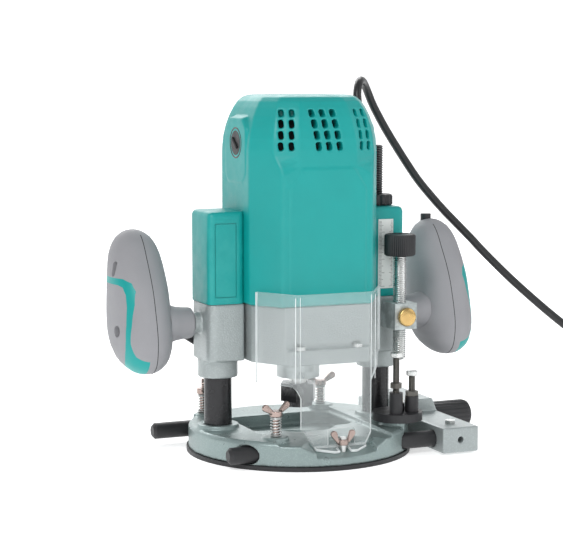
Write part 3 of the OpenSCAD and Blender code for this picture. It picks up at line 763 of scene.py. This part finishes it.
soften("base_casting", 0.8, base_paint, "base", 4)
soften("motor_bracket column_sleeves", 0.8, casting, "motor", 5)
soften("guide_bracket", 0.7, casting, "guide", 3)
soften("wing_bolt_front_left", 0.3, bronzed, "wing_front_left", 3)
soften("wing_bolt_back_left", 0.3, bronzed, "wing_back_left", 3)
soften("wing_bolt_back_right", 0.3, bronzed, "wing_back_right", 3)
soften("deflector_wing_nut", 0.28, bronzed, "deflector_nut", 3)
soften("plunge_lock_lever", 0.5, black, "lock_lever", 4)


# ---- springs ----

def helix(cx, cy, r, wire, z0, z1, turns, name):
    """A compression spring with its end turns drawn closer together."""
    pts = []
    total = turns * 28
    for i in range(total + 1):
        t = i / total
        k = t * turns
        rise = (k - 0.75 * min(1, k) - 0.75 * max(0, k - turns + 1)) / (turns - 1.5)
        pts.append((cx + r * math.cos(2 * math.pi * k), cy + r * math.sin(2 * math.pi * k),
                    z0 + wire + (z1 - z0 - 2 * wire) * rise))
    return sweep(name, pts, wire, zinc, "base", 8)


for i, (x, y) in enumerate(((-39.6, -52), (-55.5, 52), (41.2, 52))):
    sp = helix(x, y, 3.7, 0.45, 21.6, 35.7, 8, f"clamp_spring_{i}")
    if i == 0:
        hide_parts("clamp_springs")


# ---- deflector ----

PATH = [(-47, -36), (-29, -66), (29, -66), (47, -36)]


def sheet_line():
    """The inner face of the sheet seen from above, with its two bends rounded."""
    bend = rounded([(-47, 30)] + PATH + [(47, 30)], [0, 0.01, 6.5, 6.5, 0.01, 0], 8)
    line = [p for p in bend if p[1] <= -36.0 + 1e-6]
    return line


inner_line = sheet_line()
outer_line = []
for i, p in enumerate(inner_line):
    a = Vector(inner_line[max(i - 1, 0)])
    b = Vector(inner_line[min(i + 1, len(inner_line) - 1)])
    t = (b - a).normalized()
    outer_line.append((p[0] + t.y * 2.0, p[1] - t.x * 2.0))
ribbon = inner_line + outer_line[::-1]
sheet = prism("chip_sheet", ribbon, 13.8, 122.5, clear)
fix_normals(sheet)
cuts = [
    prism("c1", rounded([(-70, -5), (-27, -5), (-27, 50), (-31, 58), (-70, 58)], 5, 5), -80, -20, shade_and_seam,
          "XZ"),
    prism("c2", rounded([(27, -5), (70, -5), (70, 67), (31.5, 67), (27, 60)], 5, 5), -80, -20, shade_and_seam, "XZ"),
    prism("c3", rounded([(37, 60), (70, 60), (70, 76), (41, 76)], 3, 4), -80, -20, shade_and_seam, "XZ"),
    prism("c4", rounded([(-6.3, 5), (14.3, 5), (14.3, 27), (-6.3, 27)], 3, 4), -80, -60, shade_and_seam, "XZ"),
    prism("c5", [(-30, 5), (-17, 5), (-17, 14), (-25, 26), (-30, 30)], -80, -60, shade_and_seam, "XZ"),
    prism("c6", [(30, 5), (30, 30), (29, 26), (22.5, 14), (22.5, 5)], -80, -60, shade_and_seam, "XZ")]
boolean(sheet, cuts, "DIFFERENCE")
# the bevels, the rims and cut edges, and the back ends take the painted highlight
bevel(sheet, 0.6, 3, 50).material = 1
sheet.data.materials.clear()
sheet.data.materials.append(clear)
sheet.data.materials.append(clear_highlight)
for p in sheet.data.polygons:
    p.material_index = int(abs(p.normal.y) < 0.3 or p.center.y > -37 * MM)
tidy(sheet, 40)
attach(sheet, "base")
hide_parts("chip_deflector")

# thin whiter rods in the sheet along its two front bends: painted highlights
for x in (-29, 29):
    for k, reach in ((-1.7, 0.34), (1.7, 0.26)):
        along = Vector((x, -66.9, 0)) + Vector((k, 0.35 if k * x < 0 else 0.9, 0))
        line = [(along.x, along.y, 60.5 + 2 * i) for i in range(31)]
        sweep(f"chip_bend_highlight_{x}_{k > 0}", line, reach, clear_highlight, "base", 8)

FOOT = [(-17, 0.6), (-17, -4), (-5, -9.5), (0, -9.5), (0, -1.4), (8, -1.4), (8, -9.5), (13, -9.5),
        (22.5, -4), (22.5, 0.6)]
RAMP = math.radians(16.7)
foot = prism("chip_sheet_foot", rounded(FOOT, 1.6, 3), 0, 2, clear)
foot.data.transform(Matrix.Translation(Vector((0, -66, 13.2)) * MM) @ Matrix.Rotation(RAMP, 4, "X"))
fix_normals(foot)
# the foot's bevels and sides take the painted highlight
bevel(foot, 0.5, 3, 50).material = 1
foot.data.materials.append(clear_highlight)
for p in foot.data.polygons:
    p.material_index = int(abs(p.normal.z) < 0.5)
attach(foot, "base")


# ---- threads and knobs ----

pole = lathe("depth_pole_thread", [(66.6, 3.4), (67.8, 4.9), (143, 4.9)], POLE, zinc, "pole",
             segs=36, thread=1.5, cut=0.55)
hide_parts("depth_pole")
knob = lathe("depth_pole_knob_ribs", [(143.1, 4), (143.1, 10.4), (143.9, 11.4), (157.6, 11.4), (158.7, 10.6),
             (159, 9.4), (158.4, 8.6), (158.4, 1)], POLE, black, "pole_knob", segs=264, lobes=44,
             depth=0.5, span=(143.6, 158.0))
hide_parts("depth_pole_knob")
limit = lathe("limit_rod_thread", [(150, 4.6), (221.6, 4.6), (222.6, 3.6)], ROD, black_steel,
              "base", segs=36, thread=1.75, cut=0.7)
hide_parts("limit_rod")
nut = lathe("limit_nut_ribs", [(178.3, 4.9), (178.3, 11.2), (179.2, 12), (184.8, 12), (186, 11), (186.4, 9.6),
            (186.4, 4.9)], ROD, black, "lift_limit_nut", segs=168, lobes=14, depth=1.3,
            span=(178.8, 185.2))
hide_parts("limit_nut")
screw = lathe("brass_screw", [(-4, 2), (-4, 5.2), (-3.6, 6.2), (-3, 6.8), (-0.6, 6.8), (-0.3, 6.4), (0, 2.8)],
              (67.1, -42, 99.3), brass, "pole_screw", "Y", 96, lobes=32, depth=0.35, span=(-3.2, -0.5))
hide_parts("pole_clamp_screw")
knob_x = lathe("guide_knob_ribs",
               [(114.6, 3), (114.6, 9.6), (115.6, 11), (143, 11), (145.6, 10), (147, 8), (147, 1)],
               (0, 10, 13), black, "guide_knob", "X", 180, lobes=20, depth=0.8, span=(116, 143.5))
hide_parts("adjuster_knob")

# the angle and the height of each stop bolt
STOP_R = 10.5
for i, (angle, head) in enumerate(((-122.2, 71.3), (-32.2, 56.6), (57.8, 32.5))):
    x = TURRET[0] + STOP_R * math.cos(math.radians(angle))
    y = TURRET[1] + STOP_R * math.sin(math.radians(angle))
    bolt = lathe(f"stop_thread_{i}", [(26, 2.45), (head + 0.2, 2.45)], (x, y, 0), dark_steel, "turret",
                 segs=28, thread=0.8, cut=0.3)
    hexa = [(x + 4.5 * math.cos(math.radians(60 * k + 15)), y + 4.5 * math.sin(math.radians(60 * k + 15)))
            for k in range(6)]
    head_o = prism(f"stop_head_{i}", hexa, head, head + 3.4, zinc)
    fix_normals(head_o)
    bevel(head_o, 0.45, 3)
    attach(head_o, "turret")
    if i == 0:
        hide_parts("stop_bolts")


# ---- CAD nodes that stay ----

for name, mat, edge in (
        ("sole_plate", black, 0.4), ("sole_screws", zinc, 0.1), ("columns", column_steel, 0.3),
        ("plunge_springs", zinc, 0), ("guide_rods", black, 1.4), ("guide_screws", zinc, 0.3),
        ("turret_disc", black, 0.5), ("turret_pivot", brass, 0.4), ("stop_nuts", dark_steel, 0.3),
        ("deflector_stud", zinc, 0.2), ("bearing_retainer", casting, 0.9), ("bracket_screws", zinc, 0.4),
        ("scale_strip", label, 0.15), ("brush_holders", brass, 0), ("carbon_brushes", carbon, 0),
        ("stator_core", core, 0), ("field_windings", copper, 0), ("spindle_shaft", zinc, 0.3),
        ("armature_core", core, 0), ("commutator", copper, 0), ("cooling_fan", black, 0),
        ("upper_bearing", zinc, 0), ("lower_bearing", zinc, 0), ("collet", zinc, 0.2),
        ("collet_nut", black_steel, 0.7), ("shaft_lock", black, 0.5), ("pole_clamp_block", casting, 0.9),
        ("handle_studs", zinc, 0), ("trigger", black, 0.8), ("lock_button", black, 0.6)):
    dress(name, mat, edge)


# ---- stage ----

# metres: the floor, its bend up into the wall behind, and the wall
BEND_Y, BEND_R = 2.2, 0.8
rows = [(-3, 0)] + [(BEND_Y + BEND_R * math.sin(math.radians(a)), BEND_R - BEND_R * math.cos(math.radians(a)))
                    for a in range(0, 91, 10)] + [(BEND_Y + BEND_R, 4)]
sv = [(x * 1000, y * 1000, z * 1000 - 0.02) for y, z in rows for x in (-4, 4)]
sf = [(2 * i, 2 * i + 1, 2 * i + 3, 2 * i + 2) for i in range(len(rows) - 1)]
backdrop = make("backdrop", sv, sf, floor_mat)
